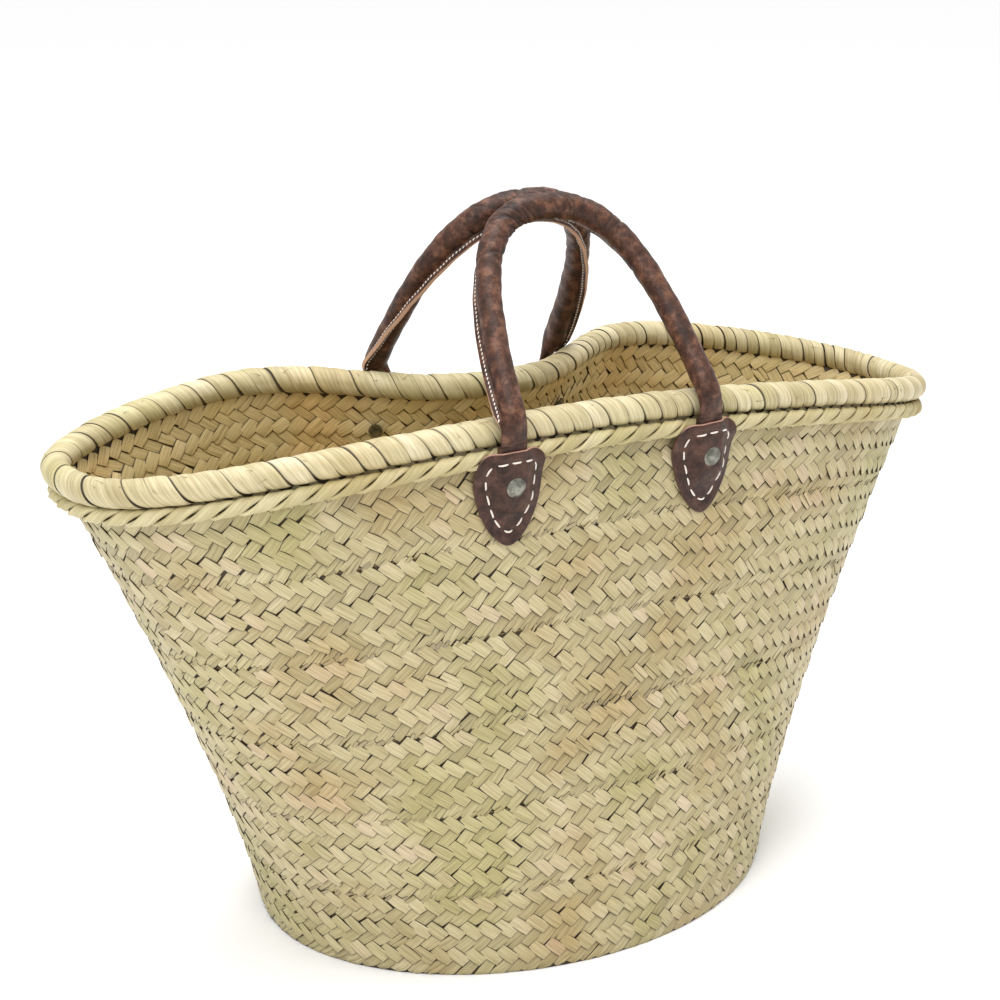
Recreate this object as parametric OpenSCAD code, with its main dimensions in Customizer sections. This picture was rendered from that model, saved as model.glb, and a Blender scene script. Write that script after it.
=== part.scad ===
// Woven palm market basket with two short leather handles.
// +X runs along the basket, -Y is the front and +Z is up.
// The origin is the middle of the underside of the bottom.

/* [Basket] */
// Length of the rim, from the middle of its roll at one end to the other
rim_length = 600; // [520:5:720]
// How far the front of the rim stands from the middle
rim_front = 123; // [105:1:150]
// How far the back of the rim stands from the middle, away from the handle
rim_back = 79; // [66:1:96]
// Height of the rim at the middle of the front
rim_height = 351; // [290:1:425]
// How far the ends of the rim lie below its middle
rim_end_drop = 35; // [20:1:50]
// How far the right end sags and the left end rises
rim_tilt = 8.5; // [0:0.5:15]
// How far the back handle pulls the rim forward
rim_pull = 77; // [40:1:90]
// How far the rim dips where it is pulled forward
rim_dip = 11; // [0:1:20]
// Length of the oval bottom
base_length = 359; // [300:1:435]
// Depth of the oval bottom, front to back
base_depth = 280; // [233:1:336]

/* [Plait] */
// Thickness of the plaited band in the middle of its width
plait_thickness = 4.4; // [3.6:0.1:5.4]
// Thickness of the plaited band at its edges
plait_edge = 3.2; // [2.4:0.1:3.4]
// Gap between two rounds of plait, where the sewing cord runs
seam_gap = 2.4; // [2:0.1:3]
// Thickness of the sewing cord
sewing_cord_d = 1.8; // [1.2:0.1:1.9]

/* [Rim] */
// Thickness of the wrapped rim roll
rim_roll_d = 16.4; // [14:0.2:20]
// Thickness of the palm leaf wrapped round the rim
wrap_leaf = 1.6; // [1:0.1:2]
// Height of the twisted cord under the rim roll
rim_cord_h = 10.4; // [8:0.2:12.4]
// Depth of the twisted cord under the rim roll
rim_cord_w = 7.2; // [6:0.1:8.6]

/* [Handles] */
// Distance between the two feet of a handle
handle_span = 134; // [112:1:162]
// Length of the arch from the bend at its feet to its top
handle_reach = 136; // [118:1:160]
// Thickness of the rolled leather at the legs
leg_d = 14.4; // [12:0.2:17.4]
// Thickness of the rolled leather at the grip
grip_d = 17; // [14:0.2:20]
// Thickness of the leather
leather = 1.6; // [1.2:0.1:2]
// How far the sewn seam edge stands out of the roll
flange = 4; // [3:0.1:5]
// Length of the soft neck between the bend and the stiff roll
neck_length = 10; // [8:0.5:13]

/* [Patches] */
// Width of a leather patch
patch_w = 46; // [40:1:55]
// Height of a leather patch
patch_h = 64; // [55:1:76]
// Depth of a patch, which is formed over the handle's tongue
patch_depth = 5.8; // [5.4:0.1:6.6]
// Width of the flat tongue on each foot
tongue_w = 17; // [14:0.5:20]
// Thickness of the flat tongue
tongue_t = 3.4; // [2.8:0.1:3.6]
// Diameter of the rivet's cap
rivet_cap_d = 12; // [10:0.5:14]
// Diameter of the rivet's post
rivet_post_d = 3.2; // [2.6:0.1:4]
// Length of one running stitch
stitch_length = 7; // [5:0.5:8]

/* [Hidden] */

straw = [0.85, 0.80, 0.60];
straw_dark = [0.70, 0.62, 0.40];
hide = [0.30, 0.19, 0.16];
thread = [0.91, 0.86, 0.80];
nickel = [0.72, 0.72, 0.69];

left = -1;
right = 1;
front = -1;
back = 1;

clearance = 0.3;
around = 84;
rim_blunt = 2.58;
flare = 1.24;
pull_blunt = 2.6;
wall_rounds = 6;
bottom_rounds = 3;
bottom_thickness = 5;

half_length = rim_length / 2;
roll_r = rim_roll_d / 2;
leg_r = leg_d / 2;
grip_r = grip_d / 2;

// The handles sit a little left of the middle of the rim.
handle_x = -0.023 * rim_length;
pull_width = 0.76 * handle_span;
foot_offset = roll_r + leg_r + clearance;
foot_rise = 6;

// ---- the basket's shape ----

function power_of(v, p) = sign(v) * pow(abs(v), p);
function unit(v) = v / norm(v);

// Depth of the rim's outline at x, as a share of its full depth
function rim_share(x) = pow(max(0, 1 - pow(abs(x / half_length), rim_blunt)), 1 / rim_blunt);

// How strongly the back handle pulls the rim at x
function pull_at(x) = exp(-pow(abs(x - handle_x) / pull_width, pull_blunt));

function rim_level(x) = rim_height - rim_end_drop * pow(x / half_length, 2) - rim_tilt * x / half_length;

// Middle of the rim roll at x, on the front or the back
function rim_at(x, side) =
    side == front
        ? [x, -rim_front * rim_share(x), rim_level(x)]
        : [x, rim_back * rim_share(x) - rim_pull * pull_at(x), rim_level(x) - rim_dip * pull_at(x)];

// Middle of the rim roll at the angle a round the basket
function rim_point(a) = rim_at(half_length * cos(a), sin(a) < 0 ? front : back);

// Half sizes of the oval that the middle of the wall stands on
base_half = [base_length - plait_thickness, base_depth - plait_thickness] / 2;

// Middle of the plait's thickness at the angle a and the share v of the rim's height
function wall_middle(a, v) =
    let (
        w = pow(v, flare),
        rim = rim_point(a),
        foot = [base_half.x * cos(a), base_half.y * sin(a)]
    )
    [foot.x * (1 - w) + rim.x * w, foot.y * (1 - w) + rim.y * w, rim.z * v];

// Level outward direction of the wall
function wall_outward(a, v) =
    let (along = wall_middle(a + 2, v) - wall_middle(a - 2, v))
    unit([along.y, -along.x, 0]);

function wall_point(a, v, off) = wall_middle(a, v) + off * wall_outward(a, v);

// Share of the rim's height at which the plait ends under the rim roll
function wall_top(a) = 1 - (roll_r + clearance) / rim_point(a).z;

// Faces of a skin over rings of points, where each ring has the same count
function skin_faces(rings, count, closed) = [
    for (j = [0 : rings - (closed ? 1 : 2)])
        for (i = [0 : count - 1])
            let (a = j * count + i, b = j * count + (i + 1) % count, next = (j + 1) % rings)
            each [[a, next * count + i, b], [b, next * count + i, next * count + (i + 1) % count]]
];

// A closed loop of rings, such as a hoop
module hoop(rings) {
    polyhedron(
        points = [for (ring = rings) each ring],
        faces = skin_faces(len(rings), len(rings[0]), true)
    );
}

// A bar of rings with flat ends
module bar(rings) {
    count = len(rings[0]);
    polyhedron(
        points = [for (ring = rings) each ring],
        faces = concat(
            skin_faces(len(rings), count, false),
            [[for (i = [0 : count - 1]) i]],
            [[for (i = [count - 1 : -1 : 0]) (len(rings) - 1) * count + i]]
        )
    );
}

// Oval section round a point: wide is its half size along across, high its half size along up
function oval(middle, across, up, wide, high, count) = [
    for (i = [0 : count - 1])
        let (a = 360 * i / count)
        middle + wide * cos(a) * across + high * sin(a) * up
];

// Rings of an oval hoop that follows a closed list of points
function hoop_rings(path, wide, high, count) = [
    for (j = [0 : len(path) - 1])
        let (
            along = unit(path[(j + 1) % len(path)] - path[(j + len(path) - 1) % len(path)]),
            across = unit([along.y, -along.x, 0])
        )
        oval(path[j], across, cross(across, along) * -1, wide, high, count)
];

// ---- bottom ----

bottom_half = [base_length, base_depth] / 2 - [1, 1] * (plait_thickness + 4 * clearance);
bottom_band = (bottom_half.y - seam_gap * (bottom_rounds - 1)) / bottom_rounds;

function bottom_oval(inset) = [
    for (i = [0 : around - 1])
        let (a = 360 * i / around)
        [(bottom_half.x - inset) * cos(a), (bottom_half.y - inset) * sin(a)]
];

// One round of the bottom: the first is the middle oval, the last lies inside the wall
module bottom_round(index) {
    outer = (bottom_rounds - index) * (bottom_band + seam_gap);
    color(straw)
        linear_extrude(bottom_thickness)
            difference() {
                polygon(bottom_oval(outer));
                if (index > 1) polygon(bottom_oval(outer + bottom_band));
            }
}

// ---- wall ----

// One round of the wall: a plaited band, thicker in the middle of its width
module wall_ring(index) {
    hoop([
        for (j = [0 : around - 1])
            let (
                a = 360 * j / around,
                top = wall_top(a),
                half_gap = seam_gap / 2 / rim_point(a).z,
                low = index == 1 ? 0 : top * (index - 1) / wall_rounds + half_gap,
                high = index == wall_rounds ? top : top * index / wall_rounds - half_gap,
                mid = (low + high) / 2,
                edge = plait_edge / 2,
                belly = plait_thickness / 2
            )
            [
                wall_point(a, low, -edge),
                wall_point(a, mid, -belly),
                wall_point(a, high, -edge),
                wall_point(a, high, edge),
                wall_point(a, mid, belly),
                wall_point(a, low, index == 1 ? belly : edge)
            ]
    ]);
}

module wall_round(index) {
    color(straw)
        if (index == wall_rounds) {
            difference() {
                wall_ring(index);
                for (side = [front, back], hand = [left, right]) at_rivet(side, hand) rivet_hole();
            }
        } else {
            wall_ring(index);
        }
}

// The cord that sews each round to the next, in the wall and in the bottom
module sewing_cord() {
    steps = 48;
    r = sewing_cord_d / 2;
    color(straw_dark) {
        for (index = [1 : wall_rounds - 1])
            hoop(hoop_rings([
                for (j = [0 : steps - 1])
                    let (a = 360 * j / steps)
                    wall_middle(a, wall_top(a) * index / wall_rounds)
            ], r, r, 5));
        for (index = [1 : bottom_rounds - 1]) {
            inset = (bottom_rounds - index) * (bottom_band + seam_gap) - seam_gap / 2;
            hoop(hoop_rings([for (p = bottom_oval(inset)) [p.x, p.y, bottom_thickness / 2]], r, r, 5));
        }
    }
}

// ---- rim ----

rim_path = [for (j = [0 : around - 1]) rim_point(360 * j / around)];

module rim_core() {
    r = roll_r - wrap_leaf - clearance;
    color(straw_dark) hoop(hoop_rings(rim_path, r, r, 10));
}

module rim_wrap() {
    color(straw)
        difference() {
            hoop(hoop_rings(rim_path, roll_r, roll_r, 12));
            hoop(hoop_rings(rim_path, roll_r - wrap_leaf, roll_r - wrap_leaf, 10));
        }
}

// The twisted cord lies on the wall's outside, right under the rim roll.
rim_cord_drop = roll_r + rim_cord_h / 2 + 2.4 * clearance;
rim_cord_share = 1 - rim_cord_drop / rim_height;

// How far the wall leans outward for each millimetre up, at the height of the twisted cord
function wall_lean(a) =
    let (up = wall_middle(a, rim_cord_share + 0.01) - wall_middle(a, rim_cord_share - 0.01))
    (up * wall_outward(a, rim_cord_share)) / up.z;

// Distance of the cord's middle outside the middle of the wall, more where the wall leans
function rim_cord_off(a) =
    plait_thickness / 2 + norm([rim_cord_w, wall_lean(a) * rim_cord_h]) / 2 + 2 * clearance;

module rim_cord() {
    path = [
        for (j = [0 : around - 1])
            let (a = 360 * j / around)
            wall_point(a, 1 - rim_cord_drop / rim_point(a).z, rim_cord_off(a))
    ];
    color(straw) hoop(hoop_rings(path, rim_cord_w / 2, rim_cord_h / 2, 8));
}

// ---- handles ----

// Level outward direction of the rim at x
function rim_outward(x, side) =
    let (along = rim_at(x + 1, side) - rim_at(x - 1, side))
    unit([-side * along.y, side * along.x, 0]);

// The bend at a foot, on the outside of the rim roll
function foot_spot(side, hand) =
    let (x = handle_x + hand * handle_span / 2)
    x - foot_offset * rim_outward(x, side).x;
function foot(side, hand) =
    let (x = foot_spot(side, hand))
    rim_at(x, side) + foot_offset * rim_outward(x, side) + [0, 0, foot_rise];

function foot_middle(side) = (foot(side, left) + foot(side, right)) / 2;
function foot_half(side) = norm(foot(side, right) - foot(side, left)) / 2;

// Directions of a handle: along its feet, up square to that, and inward
function handle_along(side) = unit(foot(side, right) - foot(side, left));
function handle_up(side) = unit([0, 0, 1] - handle_along(side).z * handle_along(side));
function handle_inward(side) = side * cross(handle_along(side), handle_up(side));

// The handles lean together until their grips meet: two arches of one reach cross over the opening.
meet_gap = grip_d + 2 * clearance;
feet_middles = foot_middle(back) - foot_middle(front);
feet_apart = [feet_middles.y - meet_gap, feet_middles.z];
meet_rise = sqrt(pow(handle_reach, 2) - pow(norm(feet_apart) / 2, 2));
feet_slope = atan2(feet_apart.y, feet_apart.x);

function handle_lean(side) =
    let (half = norm(feet_apart) / 2)
    atan2(half, meet_rise) + side * feet_slope;

// Direction from the feet to the top of the arch
function handle_rise(side) =
    cos(handle_lean(side)) * handle_up(side) + sin(handle_lean(side)) * handle_inward(side);
// Direction square to the arch, towards the other handle
function handle_normal(side) =
    cos(handle_lean(side)) * handle_inward(side) - sin(handle_lean(side)) * handle_up(side);

arch_blunt = 2.43;
arch_steps = 32;
arch_waist = 0.04;

// How high the arch is at the angle u from its right foot, as a share of its reach
function arch_share(u) = pow(abs(sin(u)), 2 / arch_blunt);
function arch_point(side, u) =
    let (share = arch_share(u))
    foot_middle(side)
        + foot_half(side) * power_of(cos(u), 2 / arch_blunt)
            * (1 - arch_waist * sin(180 * share)) * handle_along(side)
        + handle_reach * share * handle_rise(side);

arch_start = asin(pow(neck_length / handle_reach, arch_blunt / 2));

function arch_angle(j) = arch_start + (180 - 2 * arch_start) * j / arch_steps;
function arch_direction(side, u) = unit(arch_point(side, u + 1) - arch_point(side, u - 1));

// Radius of the rolled leather: thicker at the grip
function roll_at(u) = leg_r + (grip_r - leg_r) * pow(sin(u), 3);

// The seam edge turns from the outside of the arch at the feet to its underside at the grip.
function seam_turn(u) = -80 + 115 * arch_share(u);

function out_of_arch(side, u) = unit(cross(arch_direction(side, u), handle_normal(side)) * side);
function seam_direction(side, u) =
    let (turn = seam_turn(u))
    cos(turn) * handle_normal(side) - sin(turn) * out_of_arch(side, u);
function seam_side(side, u) = unit(cross(arch_direction(side, u), seam_direction(side, u)));

// Section of the rolled leather with its two edges sewn together
function roll_section(side, u) =
    let (
        middle = arch_point(side, u),
        r = roll_at(u),
        toward = seam_direction(side, u),
        beside = seam_side(side, u),
        root = asin(leather / r)
    )
    concat(
        [for (face = [-1, 1]) middle + (r + flange) * toward + face * leather * beside],
        [
            for (i = [0 : 10])
                let (a = root + (360 - 2 * root) * i / 10)
                middle + r * cos(a) * toward + r * sin(a) * beside
        ]
    );

// Round bar along the whole arch, of a radius less than the roll's
function arch_rings(side, less, from, to) = [
    for (j = [from : to])
        let (u = arch_angle(j))
        let (r = roll_at(u) - less)
        oval(arch_point(side, u), seam_direction(side, u), seam_side(side, u), r, r, 10)
];

module handle_cover(side) {
    color(hide)
        difference() {
            bar([for (j = [0 : arch_steps]) roll_section(side, arch_angle(j))]);
            bar(arch_rings(side, leather, -0.2, arch_steps + 0.2));
        }
}

// The rope inside the roll stops short of the bends.
module handle_rope(side) {
    color(straw_dark) bar(arch_rings(side, leather + clearance, 0.3, arch_steps - 0.3));
}

// Turns +Z to a direction
module point_along(direction) {
    rotate([0, acos(direction.z), atan2(direction.y, direction.x)]) children();
}

// Running stitches on both faces of the seam edge
module handle_thread(side) {
    thread_d = 0.9;
    color(thread)
        for (j = [1 : arch_steps - 1], face = [-1, 1])
            let (
                u = arch_angle(j),
                off = face * (leather + thread_d / 2 + clearance),
                middle = arch_point(side, u)
                    + (roll_at(u) + flange * 0.45) * seam_direction(side, u)
                    + off * seam_side(side, u)
            )
            translate(middle)
                point_along(arch_direction(side, u))
                    cylinder(d = thread_d, h = 3.4, center = true, $fn = 16);
}

// ---- feet: patch, tongue, neck, rivet and stitches ----

// Angle round the basket at which the wall crosses x at the height z
function wall_angle(side, x, z, low = 0, high = 180, tries = 22) =
    let (half = (low + high) / 2, a = side * half)
    tries == 0 ? a
        : wall_middle(a, z / rim_point(a).z).x > x ? wall_angle(side, x, z, half, high, tries - 1)
        : wall_angle(side, x, z, low, half, tries - 1);

// Point at a distance outside the middle of the wall
function beside_wall(side, x, z, off) =
    let (a = wall_angle(side, x, z))
    wall_point(a, z / rim_point(a).z, off);

// The patches of the front handle hang a little turned, because the handle pulls them.
front_turn = 5;
rivet_drop = 36;
patch_above = 0.37 * patch_h;
patch_below = patch_h - patch_above;
pocket_t = tongue_t + 2 * clearance;

// The underside of a patch leans from the outside of the rim cord down to the wall.
lean_top = foot_rise + rim_cord_drop;
lean_tip = rivet_drop + patch_below;
function shift_at(side, drop) = side == front ? (drop - lean_top) * tan(front_turn) : 0;
function underside_point(side, hand, drop, off) =
    let (bend = foot(side, hand))
    beside_wall(side, bend.x + shift_at(side, drop), bend.z - drop, off);

// Outermost point of the rim cord at x, behind a patch
function cord_edge(side, hand, x) =
    let (z = foot(side, hand).z - lean_top, a = wall_angle(side, x, z))
    wall_point(a, z / rim_point(a).z, rim_cord_off(a) + rim_cord_w / 2);
// Level outward direction of the wall behind the top of a patch
function top_away(side, hand) =
    let (
        bend = foot(side, hand),
        z = bend.z - lean_top,
        a = wall_angle(side, bend.x + shift_at(side, lean_top), z)
    )
    wall_outward(a, z / rim_point(a).z);
// How far the curved rim cord stands out beside the middle of a patch
function cord_bow(side, hand) =
    let (x = foot(side, hand).x + shift_at(side, lean_top), middle = cord_edge(side, hand, x))
    max([
        for (share = [-0.5 : 0.125 : 0.5])
            (cord_edge(side, hand, x + share * patch_w) - middle) * top_away(side, hand)
    ]);
function underside_top(side, hand) =
    let (x = foot(side, hand).x + shift_at(side, lean_top))
    cord_edge(side, hand, x) + (cord_bow(side, hand) + 2 * clearance) * top_away(side, hand);

function underside_tip(side, hand) =
    underside_point(side, hand, lean_tip, plait_thickness / 2 + 3 * clearance);

// Directions of a patch: up along it, across it and out of it
function patch_up(side, hand) = unit(underside_top(side, hand) - underside_tip(side, hand));
function patch_out(side, hand) =
    let (
        up = patch_up(side, hand),
        z = foot(side, hand).z - rivet_drop,
        a = wall_angle(side, foot(side, hand).x, z),
        away = wall_outward(a, z / rim_point(a).z)
    )
    unit(away - (away * up) * up);
function patch_across(side, hand) = cross(patch_up(side, hand), patch_out(side, hand));
function rivet_spot(side, hand) =
    let (top = underside_top(side, hand), tip = underside_tip(side, hand))
    top + (tip - top) * (rivet_drop - lean_top) / (lean_tip - lean_top);

// A point given across, up and out of a patch
function on_patch(side, hand, p) =
    rivet_spot(side, hand)
        + p.x * patch_across(side, hand)
        + p.y * patch_up(side, hand)
        + p.z * patch_out(side, hand);

// Places a shape on a patch: X across it, Y up along it and Z out of it
module at_rivet(side, hand) {
    across = patch_across(side, hand);
    up = patch_up(side, hand);
    out = patch_out(side, hand);
    translate(rivet_spot(side, hand))
        rotate([atan2(up.z, out.z), -asin(across.z), atan2(across.y, across.x)])
            children();
}

// Outline of a patch, less an inset: round shoulders and a narrow round tip
patch_shoulder = 0.28 * patch_h;
function patch_edge(a, inset) =
    let (
        above = sin(a) > 0,
        blunt = above ? 3.4 : 1.75,
        high = above ? patch_shoulder - inset : patch_h - patch_shoulder - 1.3 * inset
    )
    [
        (patch_w / 2 - inset) * power_of(cos(a), 2 / blunt),
        patch_above - patch_shoulder + high * power_of(sin(a), 2 / blunt)
    ];

tongue_below = 12;
tongue_top = rivet_drop - foot_rise - 5;

module patch(side, hand) {
    color(hide)
        at_rivet(side, hand)
            difference() {
                linear_extrude(patch_depth) polygon([for (a = [0 : 6 : 354]) patch_edge(a, 0)]);
                translate([-tongue_w / 2 - clearance, -tongue_below - clearance, -1])
                    cube([tongue_w + 2 * clearance, patch_h, pocket_t + 1]);
                rivet_hole();
            }
}

// The flattened end of a handle, held under its patch
module tongue(side, hand) {
    color(hide)
        at_rivet(side, hand)
            difference() {
                translate([-tongue_w / 2, -tongue_below, clearance])
                    cube([tongue_w, tongue_below + tongue_top, tongue_t]);
                rivet_hole();
            }
}

// Point at the share t of a smooth bend from a to d, drawn towards b and c
function bent(a, b, c, d, t) =
    pow(1 - t, 3) * a + 3 * t * pow(1 - t, 2) * b + 3 * t * t * (1 - t) * c + pow(t, 3) * d;

// The neck bends most where it is thin, near the tongue.
low_pull_share = 0.7;
high_pull_share = 0.8;

// The soft leather from the tongue to the stiff roll, which folds when the handle swings
module handle_necks(side) {
    steps = 6;
    color(hide)
        for (hand = [left, right]) {
            u = hand == right ? arch_start : 180 - arch_start;
            out_of_roll = hand * arch_direction(side, u);
            low = on_patch(side, hand, [0, tongue_top + 5 * clearance, clearance + tongue_t / 2]);
            high = arch_point(side, u) - 4 * clearance * out_of_roll;
            low_pull = low + low_pull_share * neck_length * patch_up(side, hand);
            high_pull = high - high_pull_share * neck_length * out_of_roll;
            bar([
                for (j = [0 : steps])
                    let (
                        t = j / steps,
                        middle = bent(low, low_pull, high_pull, high, t),
                        near = bent(low, low_pull, high_pull, high, t - 0.01),
                        along = unit(bent(low, low_pull, high_pull, high, t + 0.01) - near),
                        flat = patch_across(side, hand),
                        across = unit(flat - (flat * along) * along),
                        wide = (1 - t) * tongue_w / 2 + t * leg_r,
                        thick = tongue_t / 2 + (leg_r - tongue_t / 2) * t * t * (3 - 2 * t)
                    )
                    oval(middle, across, cross(along, across), wide, thick, 12)
            ]);
        }
}

rivet_cap_h = 2.4;
burr_d = 9;
burr_t = 1.2;
// How far a post stands out of its washer, and how far it reaches into its cap
post_end = 0.6;
cap_grip = 0.5;
// Depth from a patch's underside to the inside of the wall at the rivet
rivet_depth = plait_thickness + rim_cord_w + 2 * clearance + 1.4;

module rivet_hole() {
    cylinder(d = rivet_post_d + 2 * clearance, h = 4 * rivet_depth, center = true, $fn = 48);
}

module rivets() {
    cap_r = (pow(rivet_cap_d / 2, 2) + pow(rivet_cap_h, 2)) / (2 * rivet_cap_h);
    color(nickel)
        for (side = [front, back], hand = [left, right])
            at_rivet(side, hand) {
                translate([0, 0, patch_depth + 0.1])
                    intersection() {
                        translate([0, 0, rivet_cap_h - cap_r]) sphere(cap_r, $fn = 96);
                        cylinder(d = rivet_cap_d, h = rivet_cap_h, $fn = 96);
                    }
                translate([0, 0, -rivet_depth - burr_t - post_end])
                    cylinder(
                        d = rivet_post_d,
                        h = rivet_depth + burr_t + post_end + patch_depth + cap_grip,
                        $fn = 48
                    );
            }
}

// Washers on the inside, which the rivets' posts are closed over
module rivet_burrs() {
    color(nickel)
        for (side = [front, back], hand = [left, right])
            at_rivet(side, hand)
                translate([0, 0, -rivet_depth - burr_t])
                    difference() {
                        cylinder(d = burr_d, h = burr_t, $fn = 96);
                        cylinder(d = rivet_post_d + 0.2, h = 3 * burr_t, center = true, $fn = 48);
                    }
}

// Point at a distance along a list of points
function walk(path, distance, i = 0) =
    let (step = norm(path[i + 1] - path[i]))
    distance <= step || i >= len(path) - 2
        ? path[i] + (path[i + 1] - path[i]) * min(1, distance / step)
        : walk(path, distance - step, i + 1);
function path_length(path, i = 0) =
    i >= len(path) - 1 ? 0 : norm(path[i + 1] - path[i]) + path_length(path, i + 1);

// Running stitches round a patch, inside its edge
stitch_inset = 6.5;
stitch_d = 1.1;
stitch_gap = 2.4;

module stitches(side, hand) {
    path = [for (a = [0 : 4 : 360]) patch_edge(a, stitch_inset)];
    total = path_length(path);
    count = round(total / (stitch_length + stitch_gap));
    pitch = total / count;
    color(thread)
        at_rivet(side, hand)
            for (i = [0 : count - 1]) {
                from = walk(path, i * pitch);
                to = walk(path, i * pitch + pitch - stitch_gap);
                translate([from.x, from.y, patch_depth + stitch_d / 2 + 0.05])
                    rotate([0, 90, atan2(to.y - from.y, to.x - from.x)])
                        cylinder(d = stitch_d, h = norm(to - from), $fn = 16);
            }
}

bottom_round(1);  // bottom_round_1
bottom_round(2);  // bottom_round_2
bottom_round(3);  // bottom_round_3
wall_round(1);  // wall_round_1
wall_round(2);  // wall_round_2
wall_round(3);  // wall_round_3
wall_round(4);  // wall_round_4
wall_round(5);  // wall_round_5
wall_round(6);  // wall_round_6
sewing_cord();
rim_core();
rim_wrap();
rim_cord();
handle_cover(front);  // front_handle_cover
handle_cover(back);  // back_handle_cover
handle_rope(front);  // front_handle_rope
handle_rope(back);  // back_handle_rope
handle_thread(front);  // front_handle_thread
handle_thread(back);  // back_handle_thread
patch(front, left);  // front_left_patch
patch(front, right);  // front_right_patch
patch(back, left);  // back_left_patch
patch(back, right);  // back_right_patch
handle_necks(front);  // front_handle_necks
handle_necks(back);  // back_handle_necks
tongue(front, left);  // front_left_tongue
tongue(front, right);  // front_right_tongue
tongue(back, left);  // back_left_tongue
tongue(back, right);  // back_right_tongue
stitches(front, left);  // front_left_stitches
stitches(front, right);  // front_right_stitches
stitches(back, left);  // back_left_stitches
stitches(back, right);  // back_right_stitches
rivets();
rivet_burrs();
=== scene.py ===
"""Looks of a woven palm market basket with two rolled leather handles, built round its frame.

The shape is worked out in millimetres and becomes metres when a piece is made.
+X runs along the basket, -Y is the front and +Z is up, as in the frame.
"""

import math

import bpy
import numpy as np
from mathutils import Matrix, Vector
from mathutils.bvhtree import BVHTree


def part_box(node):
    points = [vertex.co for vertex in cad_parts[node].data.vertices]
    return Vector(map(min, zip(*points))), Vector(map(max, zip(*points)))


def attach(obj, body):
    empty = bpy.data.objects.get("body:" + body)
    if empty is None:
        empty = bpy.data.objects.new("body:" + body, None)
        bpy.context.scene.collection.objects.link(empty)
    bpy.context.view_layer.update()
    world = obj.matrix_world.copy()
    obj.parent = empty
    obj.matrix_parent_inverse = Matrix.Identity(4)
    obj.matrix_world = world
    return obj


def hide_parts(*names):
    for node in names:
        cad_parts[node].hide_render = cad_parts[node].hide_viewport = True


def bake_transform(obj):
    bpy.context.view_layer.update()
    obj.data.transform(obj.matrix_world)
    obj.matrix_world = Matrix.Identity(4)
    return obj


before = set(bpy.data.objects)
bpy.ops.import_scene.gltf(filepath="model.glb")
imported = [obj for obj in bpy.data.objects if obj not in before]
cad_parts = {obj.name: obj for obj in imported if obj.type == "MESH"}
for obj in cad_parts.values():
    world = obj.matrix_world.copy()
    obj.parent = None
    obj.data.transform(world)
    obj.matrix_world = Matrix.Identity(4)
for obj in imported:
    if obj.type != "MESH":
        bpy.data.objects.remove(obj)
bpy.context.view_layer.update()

MM = 0.001
FRONT, BACK, LEFT, RIGHT = -1, 1, -1, 1
SIDES = {FRONT: "front", BACK: "back"}
HANDS = {LEFT: "left", RIGHT: "right"}
rng = np.random.default_rng(11)

# ---- sizes of the basket in millimetres, as in the frame ----

rim_low, rim_high = (np.array(corner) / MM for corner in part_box("rim_wrap"))
base_low, base_high = (np.array(corner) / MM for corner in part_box("bottom_round_3"))

clearance = 0.3
roll_r = 8.2
half_length = (rim_high[0] - rim_low[0]) / 2 - roll_r
rim_front = -rim_low[1] - roll_r
rim_back, rim_pull, rim_dip = 79.0, 77.0, 11.0
rim_height, rim_end_drop, rim_tilt = 351.0, 35.0, 8.5
rim_blunt, flare, pull_blunt = 2.58, 1.24, 2.6
handle_x, pull_width = -13.8, 101.84
plait_thickness = 4.4
bottom_thickness = base_high[2] - base_low[2]
bottom_half = (base_high - base_low)[:2] / 2
base_half = bottom_half + plait_thickness / 2 + 4 * clearance
wall_rounds, wall_rows = 6, 6
bottom_rounds, bottom_rows, bottom_gap = 3, 4, 2.4
float_pitch = 10.3
rim_cord_h, rim_cord_w = 10.4, 7.2
rim_cord_drop = roll_r + rim_cord_h / 2 + 2.4 * clearance

handle_span, handle_reach, handle_blunt, handle_waist = 134.0, 136.0, 2.43, 0.04
leg_r, grip_r, leather, flange = 7.2, 8.5, 1.6, 4.0
foot_offset, foot_rise, neck_length = roll_r + leg_r + clearance, 6.0, 10.0

patch_w, patch_h, rivet_drop = 44.0, 60.5, 36.0
patch_above, patch_shoulder = 0.37 * patch_h, 0.28 * patch_h
tongue_w, tongue_t, tongue_below = 17.0, 3.4, 12.0
tongue_top = rivet_drop - foot_rise - 5
floor_lift, floor_bend, floor_gap = 2.6, 25.0, 0.02


def unit(v):
    """Vectors made one long."""
    return v / np.linalg.norm(v, axis=-1, keepdims=True)


def signed_power(v, p):
    """A power that keeps the sign."""
    return np.sign(v) * np.abs(v) ** p


# ---- the basket's shape ----


def rim_at(x, side):
    """Middle of the rim roll at x on the front or the back."""
    share = np.maximum(0, 1 - np.abs(x / half_length) ** rim_blunt) ** (1 / rim_blunt)
    pull = np.exp(-((np.abs(x - handle_x) / pull_width) ** pull_blunt))
    level = rim_height - rim_end_drop * (x / half_length) ** 2 - rim_tilt * x / half_length
    is_front = np.asarray(side) == FRONT
    return np.stack(
        [
            x + 0 * share,
            np.where(is_front, -rim_front * share, rim_back * share - rim_pull * pull),
            level - np.where(is_front, 0, rim_dip * pull),
        ],
        -1,
    )


def rim_point(a):
    """Middle of the rim roll at the angle a round the basket."""
    return rim_at(half_length * np.cos(a), np.where(np.sin(a) < 0, FRONT, BACK))


def wall_middle(a, v):
    """Middle of the plait at the angle a round the basket and the share v of the rim's height."""
    w = np.maximum(v, 0) ** flare
    rim = rim_point(a)
    return np.stack(
        [
            base_half[0] * np.cos(a) * (1 - w) + rim[..., 0] * w,
            base_half[1] * np.sin(a) * (1 - w) + rim[..., 1] * w,
            rim[..., 2] * v,
        ],
        -1,
    )


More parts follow.
